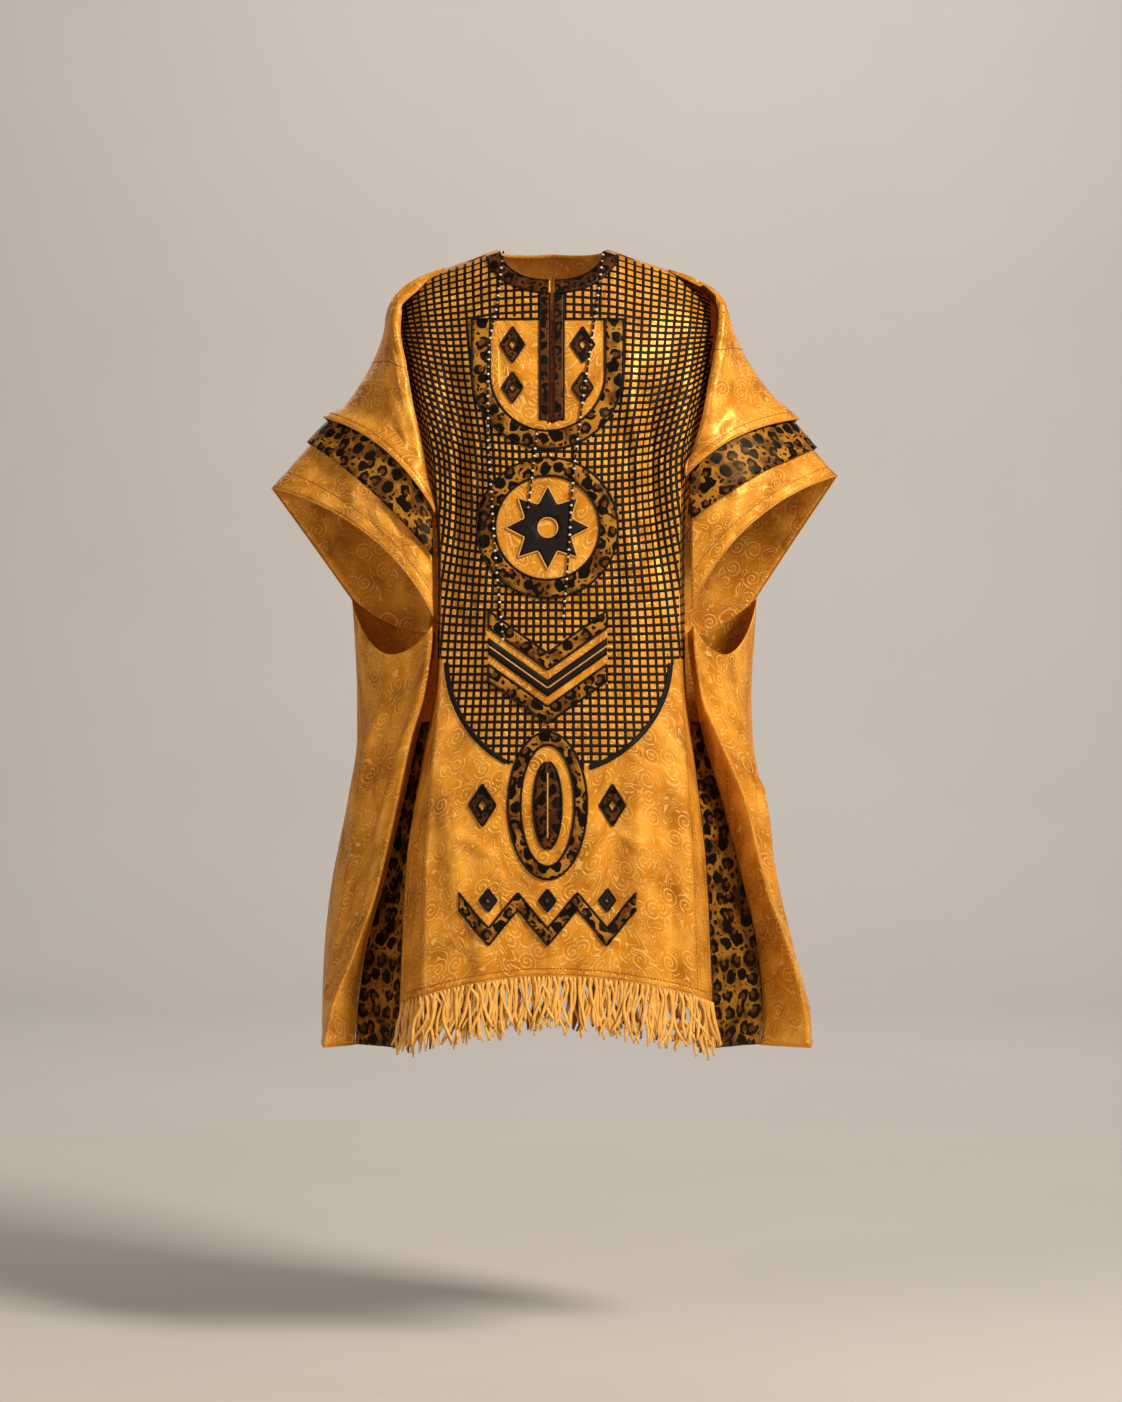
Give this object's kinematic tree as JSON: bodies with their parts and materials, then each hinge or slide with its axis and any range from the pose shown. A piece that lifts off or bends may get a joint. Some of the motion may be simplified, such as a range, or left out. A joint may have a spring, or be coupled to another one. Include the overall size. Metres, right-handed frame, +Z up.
{
  "type": "grand boubou",
  "caption": "Wide West African robe of gold brocade, worn open over the shoulders, with layered wing sleeves, leopard insets, an applied front column and a fringed hem.",
  "frame": {"origin": "at the neck, midway between the two neck points of the shoulder seams, where the wearer's shoulders hold the robe", "axes": "+Z up, the front looks along -Y, +X is on the right as the front is seen"},
  "size_m": [0.8262, 0.3653, 1.1683],
  "materials": {
    "brocade": "golden cotton brocade with a glazed, satiny face",
    "leopard": "leopard-printed cotton satin in brown, gold and black",
    "satin": "black-brown satin embroidery",
    "fringe": "gold rayon fringe"
  },
  "bodies": {
    "root": {"front_panel": "brocade", "back_panel": "brocade", "gusset_left": "leopard", "gusset_right": "leopard", "sleeve_upper_left": "brocade", "sleeve_upper_right": "brocade", "sleeve_leopard_left": "leopard", "sleeve_leopard_right": "leopard", "sleeve_mouth_left": "brocade", "sleeve_mouth_right": "brocade", "neck_facing_left": "leopard", "neck_facing_right": "leopard", "neck_facing_back": "leopard", "placket_left": "leopard", "placket_right": "leopard", "column_bib": "leopard", "column_ring": "leopard", "column_star": "satin", "column_chevron_1": "leopard", "column_chevron_2": "satin", "column_chevron_3": "leopard", "column_oval": "leopard", "column_seed": "satin", "column_zigzag": "leopard", "lattice_border_left": "satin", "lattice_border_right": "satin", "front_fringe": "fringe"}
  },
  "joints": []
}
